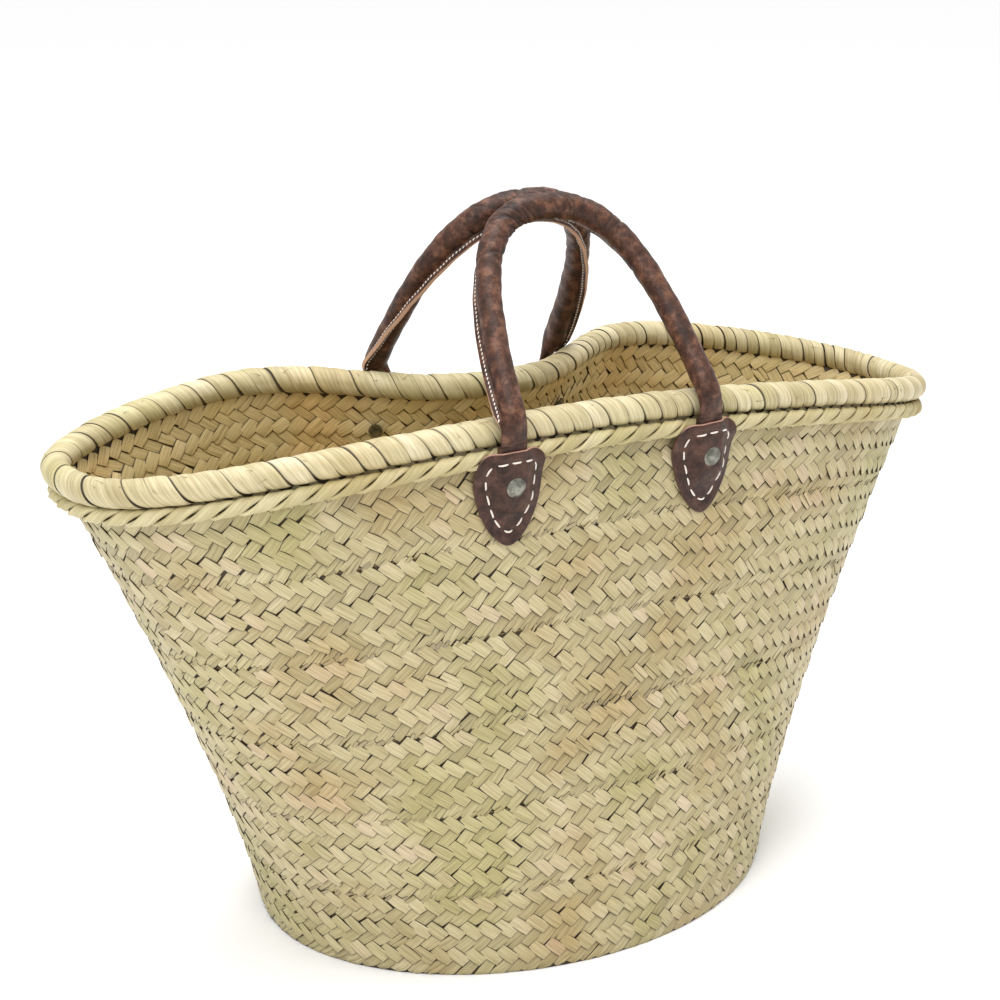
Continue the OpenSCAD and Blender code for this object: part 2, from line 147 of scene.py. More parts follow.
def wall_outward(a, v, step=math.radians(2)):
    """Level outward direction of the wall."""
    along = wall_middle(a + step, v) - wall_middle(a - step, v)
    return unit(np.stack([along[..., 1], -along[..., 0], 0 * along[..., 0]], -1))


def wall_place(a, v, off, turn=0.02, rise=0.01):
    """Point at a distance square to the wall."""
    along = wall_middle(a + turn, v) - wall_middle(a - turn, v)
    up = wall_middle(a, v + rise) - wall_middle(a, np.maximum(v - rise, 0))
    away = unit(np.cross(along, up))
    points = wall_middle(a, v) + np.asarray(off)[..., None] * away
    # Near the floor the wall bends up a little, so that its thickness stays above it.
    leaning = np.maximum(0, -away[..., 2])
    points[..., 2] += floor_lift * leaning * np.exp(-((points[..., 2] / floor_bend) ** 2))
    points[..., 2] = np.maximum(points[..., 2], floor_gap)
    return points


def wall_top(a):
    """Share of the rim's height at which the plait ends under the rim roll."""
    return 1 - (roll_r + clearance) / rim_point(a)[..., 2]


def ways_along(line):
    """Distance of each point of a line from its first one."""
    return np.concatenate([[0], np.cumsum(np.linalg.norm(np.diff(line, axis=0), axis=1))])


def even_angles(line, steps=3600):
    """Function from a share of the way round a closed line to its angle, and the line's length."""
    a = np.linspace(0, 2 * np.pi, steps + 1)
    ways = ways_along(line(a))

    def angle(share):
        turns = np.floor(share)
        return np.interp((share - turns) * ways[-1], ways, a) + 2 * np.pi * turns

    return angle, ways[-1]


def ring_angles(count):
    """Evenly spaced angles round a ring."""
    return 2 * math.pi * np.arange(count) / count


def rings_round(line, first, second, size, count):
    """Rings of points round a line, lying along two directions square to it."""
    ring = ring_angles(count)[None, :, None]
    return line[:, None] + size * (np.cos(ring) * first[:, None] + np.sin(ring) * second[:, None])


# ---- making pieces ----


def deselect():
    """Nothing stays selected, so the next tool acts on its own piece alone."""
    bpy.ops.object.select_all(action="DESELECT")


def piece(name, points, faces, materials, face_slots=None, uv=None, crisp=None, **layers):
    """A smooth mesh piece from points in millimetres, with attributes and a UV map in metres.

    Its crisp faces are shaded flat."""
    mesh = bpy.data.meshes.new(name)
    mesh.from_pydata((np.asarray(points) * MM).tolist(), [], faces)
    for material in materials:
        mesh.materials.append(material)
    if face_slots is not None:
        mesh.polygons.foreach_set("material_index", np.asarray(face_slots, np.int32))
    if uv is not None:
        corners = np.zeros(len(mesh.loops), np.int32)
        mesh.loops.foreach_get("vertex_index", corners)
        layer = mesh.uv_layers.new(name="leaf")
        layer.data.foreach_set("uv", (np.asarray(uv)[corners] * MM).astype(np.float32).ravel())
    for key, values in layers.items():
        mesh.attributes.new(key, "FLOAT", "POINT").data.foreach_set(
            "value", np.asarray(values, np.float32)
        )
    smooth = np.ones(len(mesh.polygons), bool) if crisp is None else ~np.asarray(crisp, bool)
    mesh.polygons.foreach_set("use_smooth", smooth)
    mesh.update()
    obj = bpy.data.objects.new(name, mesh)
    bpy.context.scene.collection.objects.link(obj)
    return obj


class Parts:
    """Gathers the points, faces and layers of many small shapes for one piece."""

    def __init__(self):
        self.points, self.faces, self.slots, self.uv, self.crisp = [], [], [], [], []
        self.layers = {"tone": [], "depth": []}
        self.count = 0

    def add(self, points, faces, uv, tone, depth, slot=0):
        points = np.asarray(points)
        size = len(points)
        self.points.append(points)
        self.faces.extend([[i + self.count for i in face] for face in faces])
        self.slots.extend([slot] * len(faces))
        self.crisp.extend([False] * len(faces))
        self.uv.append(np.broadcast_to(uv, (size, 2)))
        self.layers["tone"].append(np.broadcast_to(tone, (size,)))
        self.layers["depth"].append(np.broadcast_to(depth, (size,)))
        self.count += size

    def make(self, name, materials):
        return piece(
            name,
            np.concatenate(self.points),
            self.faces,
            materials,
            self.slots,
            np.concatenate(self.uv),
            self.crisp,
            **{key: np.concatenate(values) for key, values in self.layers.items()},
        )


def face_outwards(obj):
    """Recalculates a closed piece's normals so that its faces point outwards."""
    deselect()
    obj.select_set(True)
    bpy.context.view_layer.objects.active = obj
    bpy.ops.object.mode_set(mode="EDIT")
    bpy.ops.mesh.select_all(action="SELECT")
    bpy.ops.mesh.normals_make_consistent(inside=False)
    bpy.ops.object.mode_set(mode="OBJECT")
    deselect()


def grid_faces(rows, columns, close_rows=False, close_columns=False):
    """Quads over a grid of points, closed in either direction where asked."""
    faces = []
    for i in range(rows - (0 if close_rows else 1)):
        for j in range(columns - (0 if close_columns else 1)):
            i1, j1 = (i + 1) % rows, (j + 1) % columns
            faces.append([i * columns + j, i1 * columns + j, i1 * columns + j1, i * columns + j1])
    return faces


def tube_faces(rings, count):
    """Quads along a tube of rings, with its two ends closed."""
    faces = grid_faces(rings, count, False, True)
    last = (rings - 1) * count
    return faces + [list(range(count)), [last + i for i in reversed(range(count))]]


# ---- materials ----


def colour(hex_code):
    """An sRGB hex colour as linear red, green, blue and alpha."""
    parts = [int(hex_code[i : i + 2], 16) / 255 for i in (1, 3, 5)]
    return [c / 12.92 if c <= 0.04045 else ((c + 0.055) / 1.055) ** 2.4 for c in parts] + [1.0]


def node(tree, kind, inputs=None, **settings):
    """Adds a shader node with its settings; an input is a value or another node's output."""
    made = tree.nodes.new("ShaderNode" + kind)
    for key, value in settings.items():
        setattr(made, key, value)
    for key, value in (inputs or {}).items():
        if isinstance(value, bpy.types.NodeSocket):
            tree.links.new(value, made.inputs[key])
        else:
            made.inputs[key].default_value = value
    return made


def material(name):
    """An empty material and its node tree with an output."""
    made = bpy.data.materials.new(name)
    made.use_nodes = True
    made.node_tree.nodes.clear()
    return made, made.node_tree


def finish_material(tree, shader):
    """Joins the shader to the material's surface."""
    tree.links.new(shader.outputs[0], node(tree, "OutputMaterial").inputs["Surface"])


def ramp(tree, factor, stops, mode="LINEAR"):
    """A colour ramp with (place, hex colour) stops."""
    made = node(tree, "ValToRGB", {"Fac": factor})
    band = made.color_ramp
    band.interpolation = mode
    while len(band.elements) < len(stops):
        band.elements.new(0.5)
    for element, (place, hex_code) in zip(band.elements, stops):
        element.position = place
        element.color = colour(hex_code)
    return made.outputs["Color"]


def mix(tree, factor, a, b, blend_type="MIX"):
    """Two colours mixed by a factor, each a value or another node's output."""
    made = node(tree, "Mix")
    made.data_type = "RGBA"
    made.blend_type = blend_type
    made.clamp_result = False
    for index, value in ((0, factor), (6, a), (7, b)):
        if isinstance(value, bpy.types.NodeSocket):
            tree.links.new(value, made.inputs[index])
        else:
            made.inputs[index].default_value = value
    return made.outputs[2]


def palm_leaf(name, shades, shadow, zone_tint, roughness=0.5, fibre_mm=0.55, fibre_depth=0.35):
    """Dried dwarf-palm leaf, folded and plaited by hand: matt-silky strands with fine ribs along
    them, no two of one colour, and painted brown shade where they pass under each other."""
    made, tree = material(name)
    tone = node(tree, "Attribute", attribute_name="tone").outputs["Fac"]
    depth = node(tree, "Attribute", attribute_name="depth").outputs["Fac"]
    uv = node(tree, "UVMap", uv_map="leaf").outputs["UV"]
    place = node(tree, "TexCoord").outputs["Object"]
    # Ribs run along the leaf, fibre_mm apart, and each shows for about 17 mm.
    along_ribs = node(tree, "Mapping", {"Vector": uv, "Scale": (60, 1000 / fibre_mm, 1)}).outputs[0]
    ribs = node(
        tree,
        "TexNoise",
        {"Vector": along_ribs, "Scale": 1, "Detail": 2, "Roughness": 0.6},
    ).outputs["Fac"]
    # Paler and darker streaks are 1.25 mm wide and 33 mm long.
    along_streaks = node(tree, "Mapping", {"Vector": uv, "Scale": (30, 800, 1)}).outputs[0]
    streaks = node(
        tree, "TexNoise", {"Vector": along_streaks, "Scale": 1, "Detail": 3}
    ).outputs["Fac"]
    # Leaves of one cut lie together, so the colour also drifts over a hand's breadth, 70 mm.
    drift = node(tree, "TexNoise", {"Vector": place, "Scale": 14, "Detail": 2}).outputs["Fac"]
    shade = ramp(tree, tone, shades)
    tint = ramp(tree, drift, [(0.3, zone_tint[0]), (0.5, "#FFFFFF"), (0.7, zone_tint[1])])
    shade = mix(tree, 0.75, shade, tint, "MULTIPLY")
    streak_shade = ramp(tree, streaks, [(0.32, "#BDB295"), (0.6, "#FFFFFF")])
    shade = mix(tree, 0.5, shade, streak_shade, "MULTIPLY")
    rib_shade = ramp(tree, ribs, [(0.34, "#9C8F70"), (0.56, "#FFFFFF")])
    shade = mix(tree, 0.32, shade, rib_shade, "MULTIPLY")
    # Painted shade: where the depth attribute is high, in the gaps and under tucked ends, the straw
    # is mixed towards the shadow colour.
    tucked = ramp(
        tree, depth, [(0.0, "#000000"), (0.3, "#2A2A2A"), (0.58, "#F0F0F0"), (1.0, "#FFFFFF")]
    )
    shade = mix(tree, tucked, shade, colour(shadow))
    bump = node(
        tree,
        "Bump",
        {"Height": ribs, "Strength": fibre_depth, "Distance": 0.3 * MM},
    ).outputs[0]
    shader = node(
        tree,
        "BsdfPrincipled",
        {"Base Color": shade, "Roughness": roughness, "Normal": bump, "IOR": 1.45},
    )
    shader.inputs["Specular IOR Level"].default_value = 0.42
    finish_material(tree, shader)
    return made


def leather_hide(name, base, light, dark, raw_edge=None):
    """Vegetable-tanned goat leather, dyed brown and rolled or cut by hand: a soft shine over a fine
    pebbled grain, paler where it is rubbed, with a raw pale edge where it was cut."""
    made, tree = material(name)
    place = node(tree, "TexCoord").outputs["Object"]
    # The dye is cloudy over 7 mm, rubbed in spots of 4 mm, and the pebbled grain is 1 mm wide.
    cloud = node(
        tree, "TexNoise", {"Vector": place, "Scale": 135, "Detail": 6, "Roughness": 0.66}
    ).outputs["Fac"]
    grain = node(
        tree, "TexVoronoi", {"Vector": place, "Scale": 950}, feature="F1"
    ).outputs["Distance"]
    fine = node(
        tree, "TexNoise", {"Vector": place, "Scale": 420, "Detail": 6, "Roughness": 0.7}
    ).outputs["Fac"]
    shade = ramp(tree, cloud, [(0.34, dark), (0.5, base), (0.66, light)])
    fine_shade = ramp(tree, fine, [(0.35, "#8A7A72"), (0.6, "#FFFFFF")])
    shade = mix(tree, 0.45, shade, fine_shade, "MULTIPLY")
    rubbed = node(
        tree, "TexNoise", {"Vector": place, "Scale": 230, "Detail": 8, "Roughness": 0.75}
    ).outputs["Fac"]
    rubbed_share = ramp(tree, rubbed, [(0.55, "#000000"), (0.7, "#585858")])
    shade = mix(tree, rubbed_share, shade, colour("#9A7A66"))
    # Painted shade: the depth attribute darkens the leather towards near black in creases and in
    # the seam's groove.
    painted_recess_shade = node(tree, "Attribute", attribute_name="depth").outputs["Fac"]
    shade = mix(tree, painted_recess_shade, shade, colour("#1A0E0A"))
    if raw_edge:
        raw = node(tree, "Attribute", attribute_name="tone").outputs["Fac"]
        shade = mix(tree, raw, shade, colour(raw_edge))
    height = node(tree, "Math", {0: grain, 1: fine}, operation="ADD").outputs[0]
    bump = node(tree, "Bump", {"Height": height, "Strength": 0.5, "Distance": 0.25 * MM}).outputs[0]
    gloss = node(
        tree,
        "MapRange",
        {"Value": cloud, "From Min": 0.3, "From Max": 0.7, "To Min": 0.52, "To Max": 0.37},
    ).outputs[0]
    shader = node(
        tree,
        "BsdfPrincipled",
        {"Base Color": shade, "Roughness": gloss, "Normal": bump, "IOR": 1.5},
    )
    shader.inputs["Specular IOR Level"].default_value = 0.28
    finish_material(tree, shader)
    return made


def waxed_thread(name, light, dark):
    """Waxed linen thread, twisted: off-white, with a fine slanted ply."""
    made, tree = material(name)
    place = node(tree, "TexCoord").outputs["Object"]
    ply = node(
        tree,
        "TexWave",
        {"Vector": place, "Scale": 700, "Distortion": 1.0},
        bands_direction="DIAGONAL",
    ).outputs["Fac"]
    shade = ramp(tree, ply, [(0.15, dark), (0.6, light)])
    bump = node(tree, "Bump", {"Height": ply, "Strength": 0.4, "Distance": 0.15 * MM}).outputs[0]
    shader = node(tree, "BsdfPrincipled", {"Base Color": shade, "Roughness": 0.7, "Normal": bump})
    shader.inputs["Sheen Weight"].default_value = 0.3
    finish_material(tree, shader)
    return made


def nickel_plate(name):
    """Nickel-plated steel, pressed and tumbled: dull silver, finely scratched, with grey spots."""
    made, tree = material(name)
    place = node(tree, "TexCoord").outputs["Object"]
    # Spots are 3 mm wide and scratches a quarter of a millimetre.
    spots = node(tree, "TexNoise", {"Vector": place, "Scale": 300, "Detail": 5}).outputs["Fac"]
    scratched = node(tree, "Mapping", {"Vector": place, "Scale": (300, 4000, 300)}).outputs[0]
    scratches = node(
        tree, "TexNoise", {"Vector": scratched, "Scale": 1, "Detail": 2}
    ).outputs["Fac"]
    shade = ramp(tree, spots, [(0.4, "#66655C"), (0.6, "#8C8B81")])
    gloss = node(tree, "MapRange", {"Value": scratches, "To Min": 0.22, "To Max": 0.42}).outputs[0]
    bump = node(
        tree, "Bump", {"Height": scratches, "Strength": 0.15, "Distance": 0.05 * MM}
    ).outputs[0]
    shader = node(
        tree,
        "BsdfPrincipled",
        {"Base Color": shade, "Metallic": 1.0, "Roughness": gloss, "Normal": bump},
    )
    finish_material(tree, shader)
    return made


NO_TINT = ("#FFFFFF", "#FFFFFF")
STRAW = [
    (0.0, "#9A8F72"),
    (0.12, "#A79B7B"),
    (0.34, "#B2A67E"),
    (0.52, "#BDB189"),
    (0.7, "#C8BC97"),
    (0.85, "#CBB99B"),
    (1.0, "#D8CDB0"),
]
palm_plait = palm_leaf("plaited_palm_leaf", STRAW, "#241A0C", ("#EBDAC2", "#E6EACB"))
# A lighter, warmer copy of the straw for the inside of the basket: painted light, standing in for
# the light that falls inside.
palm_inside_painted_light = palm_leaf(
    "plaited_palm_leaf_inside_painted_light",
    [(0.0, "#C6B586"), (0.4, "#D9C795"), (0.7, "#E7D4A1"), (1.0, "#F3E5BB")],
    "#3A2A12",
    ("#FFEED6", "#FFFBE4"),
)
palm_wrap = palm_leaf(
    "wrapped_palm_leaf",
    [(0.0, "#B5A982"), (0.4, "#C5B992"), (0.7, "#D1C6A2"), (1.0, "#DDD3B6")],
    "#2A1F0C",
    ("#F4EBD8", "#F2F4DC"),
    roughness=0.45,
    fibre_mm=0.8,
    fibre_depth=0.2,
)
palm_cord = palm_leaf(
    "twisted_palm_leaf",
    [(0.0, "#AFA47A"), (0.5, "#C3B88C"), (1.0, "#D4CAA4")],
    "#2E2210",
    ("#F0E4CC", "#F2F2DA"),
    fibre_mm=0.6,
    fibre_depth=0.45,
)
palm_core = palm_leaf(
    "bundled_palm_leaf", [(0.0, "#8C7A4A"), (1.0, "#A8955E")], "#2E2210", NO_TINT
)
# The inner ply is a real layer, but it is coloured dark brown as painted shade in the gaps between
# floats.
palm_ply_painted_shade = palm_leaf("inner_palm_leaf_painted_shade", [(0.0, "#4C3E20"), (1.0, "#5E4F2C")], "#2E2210", NO_TINT)
hide_roll = leather_hide("rolled_goat_leather", "#4A2D20", "#76503C", "#2D1A11", "#D2AC92")
hide_patch = leather_hide("cut_goat_leather", "#40271D", "#583A2D", "#27150E", "#C79A86")
thread_wax = waxed_thread("waxed_linen_thread", "#EFE6DC", "#C9BBAA")
nickel = nickel_plate("nickel_plated_steel")


# ---- plait ----


def leaf_float():
    """One float of the plait, 2 long and 2 wide: a flat folded leaf with crisp edges.

    Gives its points, its faces, which of them are the skirt, and how far each point is in shade."""
    deselect()
    bpy.ops.mesh.primitive_grid_add(x_subdivisions=5, y_subdivisions=3, size=2)
    shape = bpy.context.object
    top_points = len(shape.data.vertices)
    bpy.ops.object.mode_set(mode="EDIT")
    bpy.ops.mesh.select_all(action="SELECT")
    bpy.ops.mesh.region_to_loop()
    bpy.ops.mesh.extrude_edges_move(TRANSFORM_OT_translate={"value": (0, 0, -1.0)})
    bpy.ops.mesh.edge_face_add()
    bpy.ops.mesh.select_all(action="SELECT")
    bpy.ops.mesh.normals_make_consistent(inside=False)
    bpy.ops.object.mode_set(mode="OBJECT")
    points = np.array([v.co for v in shape.data.vertices])
    faces = [list(f.vertices) for f in shape.data.polygons]
    bpy.data.objects.remove(shape)
    # The inner lines of the grid lie near the edges, so the leaf is flat and turns down quickly.
    for axis, inner, near in ((0, 0.6, 0.92), (1, 1 / 3, 0.83)):
        side = np.abs(points[:, axis])
        moved = np.where(np.abs(side - inner) < 0.05, near, side)
        points[:, axis] = np.sign(points[:, axis]) * moved
    # Its face is crowned, and drops at the edges.
    x, y = points[:, 0].copy(), points[:, 1].copy()
    points[:, 2] += 1 - 0.35 * np.abs(x) ** 12 - 0.2 * x**2 - 0.2 * np.abs(y) ** 12 - 0.14 * y**2
    # The ends are rounded.
    points[:, 0] *= 1 - 0.13 * np.abs(y) ** 3
    points[:, 1] *= 1 - 0.10 * np.abs(x) ** 6
    # Painted shade: the top's outer ring and the skirt are fully dark as the gaps between floats,
    # and the end towards -x, which tucks under, is a little dark.
    rim = np.maximum(np.abs(x), np.abs(y)) > 0.99
    shade = np.where(rim, 1.0, np.where(x < -0.5, 0.16, 0.0))
    shade[top_points:] = 1.0
    skirt = [max(face) >= top_points for face in faces]
    return points, faces, skirt, shade


FLOAT = leaf_float()

# What a falling float has, and then a rising one. The turns are in degrees, the half lengths and
# half widths in parts of a float's own, the rest in millimetres.
float_turn, float_length, float_width = (-46, 43), (1.1, 1.3), (1.27, 1.16)
float_level, float_thick = (0.42, -0.12), (0.95, 0.75)
float_lift, float_roll = (0.4, 0.0), (0.2, 0.14)
float_half_long, float_half_wide = 0.7071, 0.3536
strip_aside = 0.36


def add_leaves(
    parts, place, p, t, turn, length, width, rise, tones, shades, steps, layer=1
):
    """Adds leaves to a piece.

    p and t are their middles as shares round and across a band, length and width their half sizes
    in pitches, and steps is one pitch each way as such a share. rise holds how high each lies,
    how thick it is, and how much its far end and its right side are lifted."""
    points, faces, skirt, shade = FLOAT
    x = points[None, :, 0] * length[:, None]
    y = points[None, :, 1] * width[:, None]
    c, s = np.cos(turn)[:, None], np.sin(turn)[:, None]
    where_p = p[:, None] + (x * c - y * s) * steps[0]
    where_t = t[:, None] + (x * s + y * c) * steps[1]
    level, thick, lift, roll = (rise[:, k, None] for k in range(4))
    off = level + thick * points[None, :, 2]
    off = off + lift * points[None, :, 0] - roll * points[None, :, 1]
    placed = place(where_p, where_t, off * layer)
    count, number = len(points), len(p)
    # On the other side of the band the leaves would turn inside out, so their faces are reversed.
    probe = [
        place(np.array([0.1 + dp]), np.array([0.5 + dt]), np.array([do * layer]))[0]
        for dp, dt, do in ((0, 0, 0), (0.001, 0, 0), (0, 0.05, 0), (0, 0, 1))
    ]
    hand = np.dot(np.cross(probe[1] - probe[0], probe[2] - probe[0]), probe[3] - probe[0])
    order = [face if hand > 0 else face[::-1] for face in faces]
    # Each leaf takes its ribs from another place, so no two are alike.
    own_place = np.arange(number)[:, None]
    uv = np.stack([x * float_pitch + 97.3 * own_place, y * float_pitch + 31.7 * own_place], -1)
    uv = uv.reshape(-1, 2)
    parts.points.append(placed.reshape(-1, 3))
    for start in parts.count + count * np.arange(number):
        parts.faces.extend([[start + i for i in face] for face in order])
    # Leaves on the inner side take slot 2, the copy of the straw with painted light.
    parts.slots.extend([0 if layer > 0 else 2] * (number * len(order)))
    parts.crisp.extend(skirt * number)
    parts.uv.append(uv)
    parts.layers["tone"].append(np.repeat(tones, count))
    parts.layers["depth"].append(np.minimum(1, shade[None, :] + shades[:, None]).ravel())
    parts.count += number * count


def plait_band(parts, place, around, rows, first_row, layer, base, bulge):
    """One side of a plaited band: rows of slanted floats, each row leaning the other way.

    The falling floats stand proud with their lower ends lifted; the rising ones are tucked in."""
    row, number = np.meshgrid(np.arange(rows), np.arange(around), indexing="ij")
    row, number = row.ravel(), number.ravel()
    falls = (row + first_row) % 2 == 1
    # Some leaves are split along, most of them at the sewn edge of the band.
    split = rng.random(len(row)) < np.where(row == 0, 0.4, 0.05)
    strips = [(~split, 0.0, 1.0), (split, -0.5, 0.52), (split, 0.5, 0.52)]
    # A leaf shows again two rows on, so its colour does too.
    leaf = (number + np.where(falls, 1, -1) * row + rows) % around
    leaf_tones = rng.random((2, around + rows * 2))[falls.astype(int), leaf]
    wave = 0.10 * np.sin(2 * math.pi * (np.arange(around) / around * 9 + rng.random()))
    for chosen, aside, narrow in strips:
        n = int(chosen.sum())
        if not n:
            continue
        fall, r, k = falls[chosen], row[chosen], number[chosen]
        turn = np.where(fall, *float_turn) + rng.normal(0, 3.6, n)
        turn = np.radians(turn)
        length = float_half_long * np.where(fall, *float_length) * rng.normal(1.0, 0.05, n)
        width = float_half_wide * np.where(fall, *float_width) * rng.normal(1.0, 0.06, n) * narrow
        p = (k + 0.5 * ((r + first_row) % 2) + rng.normal(0, 0.035, n)) / around
        t = (r + 0.5 + wave[k] + rng.normal(0, 0.03, n)) / rows
        p = p - aside * strip_aside * np.sin(turn) / around
        t = t + aside * strip_aside * np.cos(turn) / rows
        level = base + np.where(fall, *float_level) + bulge * (1 - (2 * t - 1) ** 2)
        level = level + rng.normal(0, 0.1, n)
        thick = np.where(fall, *float_thick) * rng.normal(1, 0.08, n)
        lift = np.where(fall, *float_lift) + rng.normal(0, 0.07, n)
        roll = np.where(fall, *float_roll) + rng.normal(0, 0.05, n)
        tones = 0.22 + 0.32 * leaf_tones[chosen] + 0.28 * rng.random(n)
        # Painted light and shade: falling floats stand proud and get a paler tone; rising ones lie
        # deeper and get a darker tone and more painted shade. Each also gets a random amount of
        # shade.
        tones = np.clip(tones + np.where(fall, 0.07, -0.05), 0, 1)
        shades = np.where(fall, 0.0, 0.08) + 0.1 * rng.random(n) ** 2
        add_leaves(
            parts, place, p, t, turn, length, width, np.stack([level, thick, lift, roll], -1),
            tones, shades, (1 / around, 1 / rows), layer,
        )


def seam_slivers(parts, place, around, rows, layer, base):
    """The narrow folded edges of two bands that show where they are sewn together."""
    count = around * 2
    shown, slant = 0.6, math.radians(40)
    keep = rng.random(count) < shown
    p = ((np.arange(count) + 0.5 * rng.random(count)) / count)[keep]
    n = len(p)
    t = rng.normal(0, 0.08 / rows, n)
    turn = slant + rng.normal(0, math.radians(8), n)
    length = 0.4 * rng.normal(1, 0.15, n)
    width = 0.11 * rng.normal(1, 0.2, n)
    rise = np.stack([base + rng.normal(0, 0.12, n), np.full(n, 0.7), np.zeros(n), np.zeros(n)], -1)
    add_leaves(
        parts, place, p, t, turn, length, width, rise, 0.5 * rng.random(n), 0.2 * rng.random(n),
        (1 / around, 1 / rows), layer,
    )


def band_ply(parts, place, half_thick, around=200, across=8, t_high=1.0):
    """The inner ply of a band, which closes the gaps between its floats; its dark colour is painted
    shade in those gaps.
    """
    p = np.arange(around) / around
    t = np.linspace(0, t_high, across)
    profile = [(v, half_thick) for v in t] + [(v, -half_thick) for v in t[::-1]]
    rings = np.stack([place(p, np.full(around, v), np.full(around, off)) for v, off in profile], 1)
    probe = np.dot(
        np.cross(rings[1, 0] - rings[0, 0], rings[0, 1] - rings[0, 0]), rings[0, 0] - rings[0, -1]
    )
    faces = grid_faces(around, len(profile), True, True)
    faces = [face if probe > 0 else face[::-1] for face in faces]
    parts.add(rings.reshape(-1, 3), faces, (0, 0), 0.5, 0.5, slot=1)


def wall_round(index):
    """One round of the wall, woven on both sides."""
    def in_round(p, t, off):
        a = angle(p)
        v = wall_top(a) * (index - 1 + t) / wall_rounds
        return wall_place(a, np.maximum(v, 0.0), off)

    angle, length = even_angles(lambda a: wall_middle(a, wall_top(a) * (index - 0.5) / wall_rounds))
    around = int(round(length / float_pitch))
    parts = Parts()
    first = (index - 1) * wall_rows
    plait_band(parts, in_round, around, wall_rows, first, 1, base=0.35, bulge=0.4)
    plait_band(parts, in_round, around, wall_rows, first, -1, base=0.3, bulge=0.25)
    if index > 1:
        seam_slivers(parts, in_round, around, wall_rows, 1, base=0.75)
        seam_slivers(parts, in_round, around, wall_rows, -1, base=0.6)
    # The uppermost ply runs on into the rim roll.
    band_ply(parts, in_round, 0.45, t_high=1.1 if index == wall_rounds else 1.0)
    made = parts.make(f"wall_{index}_plait", [palm_plait, palm_ply_painted_shade, palm_inside_painted_light])
    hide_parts(f"wall_round_{index}")
    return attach(made, "basket")


def bottom_round(index):
    """One round of the oval bottom, woven on both faces."""
    band = (bottom_half[1] - bottom_gap * (bottom_rounds - 1)) / bottom_rounds
    outer = (bottom_rounds - index) * (band + bottom_gap)
    middle = bottom_half - outer - band / 2
    angle, length = even_angles(lambda a: middle * np.stack([np.cos(a), np.sin(a)], -1))

    def in_round(p, t, off):
        a = angle(p)
        inset = outer + band * np.clip(t, -0.06, 1.0)
        z = bottom_thickness / 2 - np.clip(off, -2.6, bottom_thickness / 2)
        return np.stack(
            [(bottom_half[0] - inset) * np.cos(a), (bottom_half[1] - inset) * np.sin(a), z], -1
        )

    around = int(round(length / float_pitch))
    parts = Parts()
    first = (bottom_rounds - index) * bottom_rows
    for layer in (1, -1):
        plait_band(parts, in_round, around, bottom_rows, first, layer, base=0.55, bulge=0.25)
        seam_slivers(parts, in_round, around, bottom_rows, layer, base=0.9)
    band_ply(parts, in_round, 0.4)
    made = parts.make(f"bottom_{index}_plait", [palm_plait, palm_ply_painted_shade, palm_inside_painted_light])
    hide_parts(f"bottom_round_{index}")
    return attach(made, "basket")


for index in range(1, bottom_rounds + 1):
    bottom_round(index)
for index in range(1, wall_rounds + 1):
    wall_round(index)


# ---- rim ----


def loop_frame(line, a, step=0.004):
    """Point, level outward direction and up direction of a closed line at an angle."""
    along = unit(line(a + step) - line(a - step))
    out = unit(np.stack([along[..., 1], -along[..., 0], 0 * along[..., 0]], -1))
    return line(a), out, np.cross(out, along)


def rim_ribbons():
    """Two palm leaves wound side by side round the rim, each lapping over the last."""
    leaves, per_turn, leaf_wide, lap_over, closer = 2, 26, 11.3, 1.2, 0.24
    angle, length = even_angles(rim_point)
    laps = leaves * int(round(length / leaf_wide / leaves))
    turns = laps // leaves
    # A leaf's section runs from its tucked edge to its raised edge, and back beneath it.
    across = np.array([-1, -0.74, -0.5, 0.1, 0.6, 0.88, 1.0, 1.0, 0.0, -1.0])
    # Painted shade: the tucked edge and the part beneath are dark, as shade between the laps.
    shade = np.array([1, 0.62, 0.04, 0, 0, 0, 1, 1, 1, 1])
    beneath = np.array([0, 0, 0, 0, 0, 0, 0, 1, 1, 1])
    steps, count = turns * per_turn, len(across)
    parts = Parts()
    for leaf in range(leaves):
        tau = np.arange(steps) / per_turn
        theta = math.pi / 2 - 2 * math.pi * tau
        turn = np.floor(tau + 0.25).astype(int) % turns
        wide, puff, drift = (
            np.interp(tau, np.arange(turns), rng.normal(mean, spread, turns), period=turns)[:, None]
            for mean, spread in ((1, 0.06), (0, 0.2), (0, 0.05))
        )
        # Under the rim the leaf is drawn narrower, so small wedges of dark show between the laps.
        squeeze = 1 - 0.13 * np.clip(-np.sin(theta), 0, 1)[:, None]
        half = 0.5 * lap_over * wide * squeeze
        share = (leaves * tau[:, None] + leaf + drift + across[None, :] * half) / laps
        # The laps are drawn closer at the right end, where the winding started.
        share = share - closer / (2 * math.pi) * np.sin(2 * math.pi * share)
        middle, out, up = loop_frame(rim_point, angle(share))
        radius = roll_r - 0.8 + 0.4 * across + 1.0 * (1 - across**4) + puff - 1.0 * beneath
        c, s = np.cos(theta)[:, None, None], np.sin(theta)[:, None, None]
        points = middle + radius[..., None] * (c * out + s * up)
        tones = np.repeat((0.15 + 0.7 * rng.random(turns))[turn], count)
        along_leaf = np.repeat(tau * 2 * math.pi * roll_r, count)
        across_leaf = np.tile(across * leaf_wide / 2, steps) + 2 * leaf_wide * leaf
        uv = np.stack([along_leaf, across_leaf], -1)
        faces = grid_faces(steps, count, True, True)
        parts.add(points.reshape(-1, 3), faces, uv, tones, np.tile(shade, steps))
    made = parts.make("rim_leaf_wrap", [palm_wrap])
    face_outwards(made)
    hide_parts("rim_wrap")
    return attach(made, "basket")


